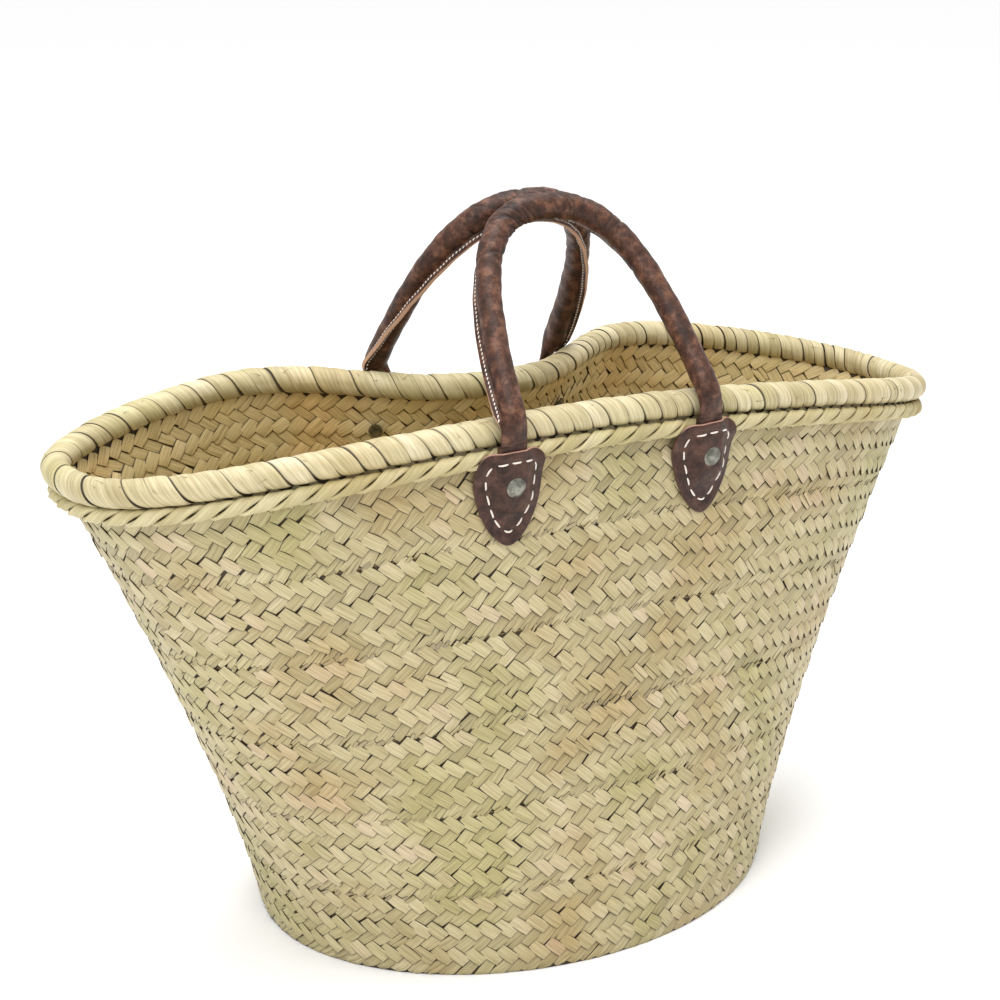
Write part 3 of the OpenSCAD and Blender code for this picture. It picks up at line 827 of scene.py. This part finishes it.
def cord_line(a):
    """Middle of the twisted cord under the rim."""
    v = 1 - rim_cord_drop / rim_point(a)[..., 2]
    up = wall_middle(a, v + 0.01) - wall_middle(a, v - 0.01)
    away = wall_outward(a, v)
    lean = (up * away).sum(-1) / up[..., 2]
    off = plait_thickness / 2 + np.hypot(rim_cord_w, lean * rim_cord_h) / 2 + 2 * clearance
    return wall_middle(a, v) + off[..., None] * away


def twisted_cord():
    """Two strands of folded leaf twisted round each other, sewn on under the rim."""
    twist_length, per_twist, count = 33, 20, 12
    strand_wide, strand_high = 2.5, 4.3
    angle, length = even_angles(cord_line, 1440)
    twists = int(round(length / twist_length))
    steps = twists * per_twist
    knots = np.arange(twists + 1)
    parts = Parts()
    share = np.arange(steps) / steps
    middle, out, up = loop_frame(cord_line, angle(share))
    wobble = rng.normal(0, 0.25, (2, twists + 1))
    for strand in (0, 1):
        psi = 2 * math.pi * share * twists + strand * math.pi
        c, s = np.cos(psi)[:, None], np.sin(psi)[:, None]
        bulge = 1 + 0.10 * np.interp(share * twists, knots, wobble[strand])
        # The strands swing further up and down than in and out, and lie close under the roll.
        centre = middle + 1.4 * c * out + (2.4 * s + 1.0) * up
        n, b = unit(c * out + s * up), unit(-s * out + c * up)
        ring = ring_angles(count)
        fold = 1 + 0.07 * np.cos(3 * ring + 1)
        points = (
            centre[:, None]
            + (strand_wide * bulge[:, None] * np.cos(ring) * fold)[..., None] * n[:, None]
            + (strand_high * bulge[:, None] * np.sin(ring) * fold)[..., None] * b[:, None]
        )
        # Where the strand passes under the other it lies in shade.
        inner = np.clip(-np.cos(ring), 0, 1)[None, :] * np.ones((steps, 1))
        across_leaf = np.tile(ring * 3.0, steps) + 40 * strand
        uv = np.stack([np.repeat(share * length, count), across_leaf], -1)
        tone = np.repeat(np.interp(share * twists, knots, rng.random(twists + 1)), count)
        faces = grid_faces(steps, count, True, True)
        parts.add(points.reshape(-1, 3), faces, uv, tone, inner.ravel() ** 3)
    made = parts.make("rim_twisted_cord", [palm_cord])
    face_outwards(made)
    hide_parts("rim_cord")
    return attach(made, "basket")


def stray_fibres():
    """Loose hairs of palm that stand off the rim and the cord."""
    hairs, thick = 130, 0.24
    parts = Parts()
    angle = even_angles(rim_point, 1440)[0]
    for _ in range(hairs):
        a = angle(np.array([rng.random()]))
        middle, out, up = (v[0] for v in loop_frame(rim_point, a))
        along = np.cross(up, out)
        theta = rng.uniform(-2.0, 2.6)
        away = math.cos(theta) * out + math.sin(theta) * up
        side = rng.choice([-1, 1]) * along + 0.5 * np.cross(along, away) * rng.normal()
        reach, long = rng.uniform(0.6, 3.2), rng.uniform(4, 12)
        t = np.linspace(0, 1, 6)[:, None]
        line = middle + (roll_r - 0.8) * away + t * long * unit(side) * 0.8
        line = line + reach * np.sin(2.2 * t) * away
        direction = unit(np.gradient(line, axis=0))
        first = unit(np.cross(direction, away))
        size = thick * (1 - 0.8 * t)[:, :, None]
        tube = rings_round(line, first, np.cross(direction, first), size, 3)
        parts.add(tube.reshape(-1, 3), tube_faces(6, 3), (0, 0), 0.2, rng.uniform(0, 0.5))
    made = parts.make("rim_stray_fibres", [palm_core])
    face_outwards(made)
    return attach(made, "basket")


rim_ribbons()
twisted_cord()
stray_fibres()


# ---- handles ----


def rim_outward(x, side):
    """Level direction out of the rim at x on the front or the back."""
    along = rim_at(x + 1.0, side) - rim_at(x - 1.0, side)
    return unit(np.array([-side * along[1], side * along[0], 0.0]))


def foot(side, hand):
    """The bend at a foot of a handle, on the outside of the rim."""
    x = handle_x + hand * handle_span / 2
    x -= foot_offset * rim_outward(x, side)[0]
    return rim_at(x, side) + foot_offset * rim_outward(x, side) + np.array([0, 0, foot_rise])


def foot_middle(side):
    """Middle between the two feet of a handle."""
    return (foot(side, LEFT) + foot(side, RIGHT)) / 2


def handle_axes(side):
    """Directions of a leaning handle: along its feet, up its arch, and square to the arch."""
    along = unit(foot(side, RIGHT) - foot(side, LEFT))
    up = unit(np.array([0, 0, 1.0]) - along[2] * along)
    inward = side * np.cross(along, up)
    meet_gap = 2 * grip_r + 2 * clearance
    apart = (foot_middle(BACK) - foot_middle(FRONT))[1:] - np.array([meet_gap, 0])
    half = np.linalg.norm(apart) / 2
    rise = math.sqrt(handle_reach**2 - half**2)
    lean = math.atan2(half, rise) + side * math.atan2(apart[1], apart[0])
    return (
        along,
        math.cos(lean) * up + math.sin(lean) * inward,
        math.cos(lean) * inward - math.sin(lean) * up,
    )


def arch_share(u):
    """How high the arch is at u, from 0 at its feet to 1 at the grip."""
    return np.abs(np.sin(u)) ** (2 / handle_blunt)


def arch_point(side, u):
    """Middle of the rolled leather at u along the arch, from 0 on the right to pi."""
    along, rise = handle_axes(side)[:2]
    half = np.linalg.norm(foot(side, RIGHT) - foot(side, LEFT)) / 2
    share = arch_share(u)
    waist = 1 - handle_waist * np.sin(np.pi * share)
    across = half * signed_power(np.cos(u), 2 / handle_blunt) * waist
    return foot_middle(side) + across[..., None] * along + (handle_reach * share)[..., None] * rise


arch_start = math.asin((neck_length / handle_reach) ** (handle_blunt / 2))


def wall_angle(side, x, z):
    """Angle round the basket at which the wall crosses x at the height z."""
    low, high = 0.0, math.pi
    for _ in range(30):
        a = side * (low + high) / 2
        if wall_middle(np.array(a), z / rim_point(np.array(a))[2])[0] > x:
            low = abs(a)
        else:
            high = abs(a)
    return side * (low + high) / 2


def patch_axes(side, hand):
    """Rivet spot on the underside of a patch, and the directions across, up and out of it.

    The tongue under the patch is a flat block whose mesh gives them."""
    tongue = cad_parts[f"{SIDES[side]}_{HANDS[hand]}_tongue"].data
    points = np.array([v.co for v in tongue.vertices]) / MM
    normals = np.array([f.normal for f in tongue.polygons])
    areas = np.array([f.area for f in tongue.polygons])
    away = wall_outward(np.array(wall_angle(side, points[:, 0].mean(), points[:, 2].mean())), 0.9)
    facing = normals @ away > 0.8
    out = unit(np.average(normals[facing], axis=0, weights=areas[facing]))
    up = normals[normals[:, 2] > 0.8].mean(axis=0)
    up = unit(up - up @ out * out)
    across = np.cross(up, out)
    local = points @ np.stack([across, up, out], -1)
    centre = (local.max(0) + local.min(0)) / 2
    spot = np.array(
        [centre[0], local[:, 1].min() + tongue_below, local[:, 2].min() - clearance]
    )
    return spot @ np.stack([across, up, out]), across, up, out


def bent(a, b, c, d, t):
    """Points of a smooth bend that leaves a towards b and comes to d from c."""
    t = t[:, None]
    return (1 - t) ** 3 * a + 3 * t * (1 - t) ** 2 * b + 3 * t * t * (1 - t) * c + t**3 * d


def roll_radius(u):
    """The roll is thicker at the grip than at the legs."""
    return leg_r + (grip_r - leg_r) * np.clip(np.sin(u), 0, 1) ** 3


def seam_turn(side, u):
    """The sewn edge runs from the outside of the arch at the feet to its underside at the grip.
    At the right foot of the front handle it is turned to the back."""
    foot_turn = np.where((u < np.pi / 2) & (side == FRONT), -38.0, -80.0)
    grip_turn = 6.0 if side == FRONT else 38.0
    return np.radians(foot_turn + (grip_turn - foot_turn) * arch_share(u))


def handle_line(side):
    """Middle points of a whole handle from under its right patch to under its left one,
    with u along the arch and how far each point is into a flat neck, from 0 to 1."""
    steps = 300
    u = arch_start + (math.pi - 2 * arch_start) * np.linspace(0, 1, steps)
    arch = arch_point(side, u)
    ends = []
    for hand, at in ((RIGHT, 0), (LEFT, -1)):
        spot, across, up, out = patch_axes(side, hand)
        here = u[at : at + 1 or None]
        into = hand * unit(arch_point(side, here + 0.02) - arch_point(side, here - 0.02))[0]
        low = spot + (tongue_top + 1.0) * up + (clearance + tongue_t / 2) * out
        high = arch[at]
        t = np.linspace(0, 1, 15)[:-1]
        bend = bent(low, low + 0.7 * neck_length * up, high - 0.8 * neck_length * into, high, t)
        tail = low - np.array([[5.0], [2.5]]) * up
        ends.append((np.concatenate([tail, bend]), np.concatenate([[1.0, 1.0], 1 - t]), across))
    right, left = ends
    line = np.concatenate([right[0], arch, left[0][::-1]])
    whole_u = np.concatenate([np.full(len(right[0]), u[0]), u, np.full(len(left[0]), u[-1])])
    flat = np.concatenate([right[1], np.zeros(steps), left[1][::-1]])
    return line, whole_u, flat, right, left


def wrinkles(u, phi, seed):
    """Depth in millimetres of the slanting creases that gather the leather round the grip."""
    draw = np.random.default_rng(seed)
    depth = np.zeros(np.broadcast(u, phi).shape)
    creases, crease_wide = 46, 0.011
    for _ in range(creases):
        at = draw.normal(math.pi / 2, 0.36)
        slant = draw.normal(0.05, 0.035)
        reach = draw.uniform(0.8, 2.2)
        middle = draw.uniform(0, 2 * math.pi)
        size = draw.uniform(0.25, 0.8)
        turn = (phi - middle + math.pi) % (2 * math.pi) - math.pi
        line = u - at - slant * turn
        depth += size * np.exp(-((line / crease_wide) ** 2)) * np.exp(-((turn / reach) ** 4))
    return depth


def rolled_handle(side):
    """A handle of leather rolled round a rope, its two edges sewn together into a standing seam."""
    _, rise, normal = handle_axes(side)
    line, u, flat, right, left = handle_line(side)
    steps, count = len(line), 32
    direction = unit(np.gradient(line, axis=0))
    out = unit(np.cross(direction, normal) * side)
    square = np.cross(out, direction) * side
    square = unit(square * np.sign((square @ normal))[:, None])
    turn = seam_turn(side, u)
    toward = np.cos(turn)[:, None] * square - np.sin(turn)[:, None] * out
    beside = unit(np.cross(direction, toward))
    r = roll_radius(u)
    ring = np.linspace(0, 2 * math.pi, count, endpoint=False)[None, :] + np.zeros((steps, 1))
    depth = wrinkles(u[:, None], ring, 5 + side)
    lumps = 0.16 * np.sin(u[:, None] * 23 + 1.3 * np.sin(ring + side))
    lumps = lumps + 0.12 * np.sin(u[:, None] * 61 + ring * 2)
    thick = r[:, None] + lumps - np.clip(depth, 0, 1.1)
    points = (
        line[:, None]
        + (np.cos(ring) * thick)[..., None] * toward[:, None]
        + (np.sin(ring) * thick)[..., None] * beside[:, None]
    )
    # The necks flatten towards the tongues, whose width lies across the patch.
    for (neck, neck_flat, across), first, way in ((right, 0, 1), (left, steps - 1, -1)):
        rows = first + way * np.arange(len(neck))
        d = direction[rows]
        x_axis = unit(across - (d @ across)[:, None] * d)
        y_axis = unit(np.cross(d, x_axis))
        start = toward[rows]
        phase = np.arctan2((start * y_axis).sum(-1), (start * x_axis).sum(-1))
        spin = np.sign((np.cross(start, beside[rows]) * np.cross(x_axis, y_axis)).sum(-1))
        f = neck_flat[:, None]
        wide = leg_r + (tongue_w / 2 - leg_r) * f
        ease = (1 - f) ** 2 * (1 + 2 * f)
        high = tongue_t / 2 + (leg_r - tongue_t / 2) * ease
        around = phase[:, None] + spin[:, None] * ring[rows]
        points[rows] = (
            line[rows][:, None]
            + (wide * np.cos(around))[..., None] * x_axis[:, None]
            + (high * np.sin(around))[..., None] * y_axis[:, None]
        )
    parts = Parts()
    # Painted shade: the leather is darkened in its creases, by their depth.
    shade = np.clip(depth * 0.9, 0, 0.85)
    along_leather = np.repeat(np.arange(steps) * 1.3, count)
    uv = np.stack([along_leather, np.tile(np.arange(count) * 1.5, steps)], -1)
    parts.add(points.reshape(-1, 3), tube_faces(steps, count), uv, 0.0, shade.ravel())
    # The standing seam is two cut edges of leather side by side. Each point of its section has how
    # far it stands out, how far aside it lies, and whether its edge is raw.
    sewn = flat < 0.6
    if side == FRONT:
        sewn[: steps // 2] = flat[: steps // 2] == 0
    rows = sewn.nonzero()[0][1:-1]
    number = np.arange(len(rows))
    fade = np.clip(np.minimum(number, number[::-1]) / 6.0, 0, 1)
    face = [(-2.0, 1.25, 0), (0.15, 1.1, 0), (0.6, 0.95, 0), (0.93, 0.9, 0), (1.0, 0.62, 1)]
    face.append((0.97, 0.12, 1))
    section = face + [(high, -aside, raw) for high, aside, raw in face[::-1]]
    wave = 0.22 * np.sin(number * 0.33 + side)
    stands = 0.25 + 0.75 * fade
    seam = np.stack(
        [
            line[rows]
            + (r[rows] + (high if high < 0 else high * flange * stands))[:, None] * toward[rows]
            + (aside * leather * 0.92 + wave)[:, None] * beside[rows]
            for high, aside, raw in section
        ],
        1,
    )
    raw_edge = np.tile([0.9 * raw for high, aside, raw in section], len(rows))
    # Painted shade along the groove between the two edges of the seam.
    painted_groove_shade = np.tile([0.5 if abs(aside) < 0.2 else 0.0 for high, aside, raw in section], len(rows))
    uv = np.zeros((len(rows) * len(section), 2))
    parts.add(seam.reshape(-1, 3), tube_faces(len(rows), len(section)), uv, raw_edge, painted_groove_shade)
    name = SIDES[side] + "_handle"
    made = parts.make(name + "_leather", [hide_roll])
    face_outwards(made)
    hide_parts(name + "_cover", name + "_necks")
    middle = foot_middle(side)
    low, high = (
        Vector((middle + height * rise) * MM) for height in (-0.4 * neck_length, 0.9 * neck_length)
    )
    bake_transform(made)

    # Small stitches on both faces of the standing seam.
    ways = ways_along(line[rows])
    parts = Parts()
    stitch_pitch, stitch_long, stitch_r = 2.7, 1.0, 0.42
    for face in (-1, 1):
        for way in np.arange(4.0, ways[-1] - 4.0, stitch_pitch):
            at = rows[0] + np.interp(way, ways, number)
            low_row = int(at)
            share = at - low_row
            centre, d, tw, bs, rr = (
                (1 - share) * v[low_row] + share * v[low_row + 1]
                for v in (line, direction, toward, beside, r)
            )
            aside = face * 1.0 * leather * 0.98 + np.interp(at - rows[0], number, wave)
            spot = centre + (rr + 0.42 * flange) * tw + aside * bs
            small_capsule(parts, spot, unit(d + 0.25 * tw), face * bs, stitch_long, stitch_r)
    made = parts.make(name + "_seam_stitches", [thread_wax])
    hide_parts(name + "_thread")
    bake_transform(made)


def small_capsule(parts, spot, along, out, half_long, radius, sink=0.25, count=6):
    """One short stitch: a bent capsule whose ends dip into the leather."""
    x, size = np.array([(-1, 0.45), (-0.6, 0.95), (0, 1), (0.6, 0.95), (1, 0.45)]).T[:, :, None]
    line = spot + x * half_long * along - sink * x * x * out
    across = np.broadcast_to(unit(np.cross(along, out)), line.shape)
    outs = np.broadcast_to(out, line.shape)
    rings = rings_round(line, across, outs, size[:, None] * radius, count)
    parts.add(rings.reshape(-1, 3), tube_faces(5, count), (0, 0), 0.5, 0.0)


for side in (FRONT, BACK):
    rolled_handle(side)


# ---- patches ----


def patch_edge(a, inset):
    """Outline of a patch, less an inset: round shoulders and a narrow round tip."""
    above = np.sin(a) > 0
    blunt = np.where(above, 3.4, 1.75)
    high = np.where(above, patch_shoulder - inset, patch_h - patch_shoulder - 1.3 * inset)
    return np.stack(
        [
            (patch_w / 2 - inset) * signed_power(np.cos(a), 2 / blunt),
            patch_above - patch_shoulder + high * signed_power(np.sin(a), 2 / blunt),
        ],
        -1,
    )


def frame_surface(*names):
    """The named frame nodes as one surface that rays can be cast at, in metres."""
    points, faces = [], []
    for name in names:
        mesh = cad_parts[name].data
        start = len(points)
        points.extend(v.co.copy() for v in mesh.vertices)
        faces.extend([start + i for i in f.vertices] for f in mesh.polygons)
    return BVHTree.FromPolygons(points, faces)


def four_beside(field):
    """Sum of the four neighbours of each value of a grid."""
    wide = np.pad(field, 1, mode="edge")
    return wide[:-2, 1:-1] + wide[2:, 1:-1] + wide[1:-1, :-2] + wide[1:-1, 2:]


def leather_patch(side, hand):
    """A shield-shaped patch, pressed over the handle's tongue and sewn down all round."""
    name = f"{SIDES[side]}_{HANDS[hand]}"
    spot, across, up, out = patch_axes(side, hand)
    below = ["wall_round_4", "wall_round_5", "wall_round_6", "rim_cord", name + "_tongue"]
    ground = frame_surface(*below)
    # How high the leather's underside lies over a grid of points, draped over what is below it.
    spacing, margin, above = 1.5, 3, 30
    xs = np.arange(-patch_w / 2 - margin, patch_w / 2 + margin + 0.1, spacing)
    ys = np.arange(-patch_h + patch_above - margin, patch_above + margin + 0.1, spacing)
    support = np.zeros((len(xs), len(ys)))
    for i, x in enumerate(xs):
        for j, y in enumerate(ys):
            start = Vector((spot + x * across + y * up + above * out) * MM)
            hit = ground.ray_cast(start, Vector(-out), 2 * above * MM)
            support[i, j] = above - hit[3] / MM if hit[0] is not None else -8
    support = np.clip(support + 0.45, -7, 4.1)
    high = support.copy()
    for _ in range(40):
        high = np.maximum(support, four_beside(high) / 4)
    high = (four_beside(high) + 2 * high) / 6

    def underside(x, y):
        i = np.clip((x - xs[0]) / spacing, 0, len(xs) - 1.001)
        j = np.clip((y - ys[0]) / spacing, 0, len(ys) - 1.001)
        i0, j0 = i.astype(int), j.astype(int)
        fi, fj = i - i0, j - j0
        return (
            high[i0, j0] * (1 - fi) * (1 - fj) + high[i0 + 1, j0] * fi * (1 - fj)
            + high[i0, j0 + 1] * (1 - fi) * fj + high[i0 + 1, j0 + 1] * fi * fj
        )

    thick, around, stitch_inset, drawn, rivet_seat, seat_r = 1.8, 96, 6.5, 0.45, 5.75, 8.0
    edge = patch_edge(ring_angles(around), 0.0)
    centre = np.array([0.0, -4.0])
    shares = [1.0, 0.985, 0.95, 0.89, 0.82, 0.765, 0.735, 0.705, 0.66, 0.58, 0.48, 0.36, 0.24]
    shares += [0.12, 0.03]
    # The stitches draw the leather down a little along their line.
    stitch_line = patch_edge(ring_angles(around), stitch_inset) - centre
    line_share = np.linalg.norm(stitch_line, axis=1) / np.linalg.norm(edge - centre, axis=1)
    rings = []
    for share in shares:
        flat = centre + (edge - centre) * share
        lift = thick - drawn * np.exp(-(((share - line_share) / 0.035) ** 2))
        lift = lift - (0.5 if share == 1.0 else 0.12 if share == 0.985 else 0.0)
        # Round the rivet the leather lies flat on the tongue.
        near = np.exp(-((np.linalg.norm(flat, axis=1) / seat_r) ** 4))
        rings.append((flat, (underside(*flat.T) + lift) * (1 - near) + rivet_seat * near))
    for share in (1.0, 0.9):
        flat = centre + (edge - centre) * share
        rings.append((flat, underside(*flat.T) + 0.1))
    ordered = [rings[-1], rings[-2]] + rings[:-2]
    points = np.stack(
        [spot + f[:, :1] * across + f[:, 1:] * up + h[:, None] * out for f, h in ordered]
    )
    # The cut edge is paler where the leather was skived, above the shoulders.
    cut = np.zeros((len(points), around))
    upper = np.clip((edge[:, 1] - patch_above + 6) / 5, 0.12, 1)
    cut[1], cut[2] = 0.9 * upper, 0.75 * upper
    parts = Parts()
    parts.add(points.reshape(-1, 3), tube_faces(len(points), around), (0, 0), cut.ravel(), 0.0)
    made = parts.make(name + "_leather_patch", [hide_patch])
    face_outwards(made)
    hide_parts(name + "_patch")
    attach(made, "basket")

    # Running stitches inside the edge, of thick white thread.
    fine = patch_edge(2 * math.pi * np.arange(721) / 720, stitch_inset)
    ways = ways_along(fine)
    number = int(round(ways[-1] / 9.3))
    pitch, thread_r, dip = ways[-1] / number, 0.62, 0.7 * np.abs(np.linspace(-1, 1, 7)) ** 4
    size = np.array([0.4, 0.85, 1, 1, 1, 0.85, 0.4])[:, None, None] * thread_r
    parts = Parts()
    for k in range(number):
        reach = pitch * rng.uniform(0.68, 0.8)
        way = pitch * (k + 0.12 * rng.random()) + np.linspace(0, reach, 7)
        x, y = (np.interp(way % ways[-1], ways, fine[:, i]) for i in (0, 1))
        height = underside(x, y) + thick - drawn + 0.42 - dip
        line = spot + x[:, None] * across + y[:, None] * up + height[:, None] * out
        sideways = unit(np.cross(unit(np.gradient(line, axis=0)), out))
        tube = rings_round(line, sideways, np.broadcast_to(0.8 * out, line.shape), size, 8)
        parts.add(tube.reshape(-1, 3), tube_faces(7, 8), (0, 0), 0.5, 0.0)
    made = parts.make(name + "_running_stitches", [thread_wax])
    face_outwards(made)
    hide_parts(name + "_stitches")
    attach(made, "basket")


for side in (FRONT, BACK):
    for hand in (LEFT, RIGHT):
        leather_patch(side, hand)


# ---- finishes of the frame's own nodes ----

for names, finish in (
    (["sewing_cord", "rim_core", "front_handle_rope", "back_handle_rope"], palm_core),
    ([f"{s}_{h}_tongue" for s in SIDES.values() for h in HANDS.values()], hide_patch),
    (["rivets", "rivet_burrs"], nickel),
):
    for name in names:
        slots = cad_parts[name].material_slots
        for slot in slots:
            slot.material = finish
        if not slots:
            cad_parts[name].data.materials.append(finish)

# ---- floor, light and camera ----

deselect()
bpy.ops.mesh.primitive_plane_add(size=80, location=(0, 0, 0))
floor = bpy.context.object
floor.name = "floor"
paper, tree = material("white_paper_floor")
finish_material(
    tree,
    node(tree, "BsdfPrincipled", {"Base Color": colour("#FFFFFF"), "Roughness": 0.9}),
)
floor.data.materials.append(paper)

world = bpy.data.worlds.new("studio")
bpy.context.scene.world = world
world.use_nodes = True
sky = world.node_tree.nodes["Background"]
sky.inputs["Color"].default_value = (1, 1, 1, 1)
sky.inputs["Strength"].default_value = 0.98


def softbox(name, place, target, size, power):
    """A square soft light that faces its target."""
    light = bpy.data.lights.new(name, "AREA")
    light.shape = "RECTANGLE"
    light.size, light.size_y = size
    light.energy = power
    made = bpy.data.objects.new(name, light)
    made.location = place
    made.rotation_euler = (Vector(target) - Vector(place)).to_track_quat("-Z", "Y").to_euler()
    bpy.context.scene.collection.objects.link(made)


basket_middle = (0, 0, 0.2)
softbox("key_light", (-1.1, -0.9, 1.9), basket_middle, (1.0, 1.0), 18)
softbox("top_light", (0.2, 0.1, 2.1), basket_middle, (1.4, 1.4), 26)
bpy.context.scene.view_settings.view_transform = "Standard"

# A long lens from the front left, above the rim and looking down.
camera = bpy.data.cameras.new("camera")
camera.sensor_width, camera.lens = 36, 73.8
viewer = bpy.data.objects.new("camera", camera)
viewer.location = (-0.64497, -1.08264, 0.68098)
yaw, pitch = math.radians(-30.35), math.radians(-18.47)
viewer.rotation_euler = (math.pi / 2 + pitch, 0, yaw)
bpy.context.scene.collection.objects.link(viewer)
bpy.context.scene.camera = viewer
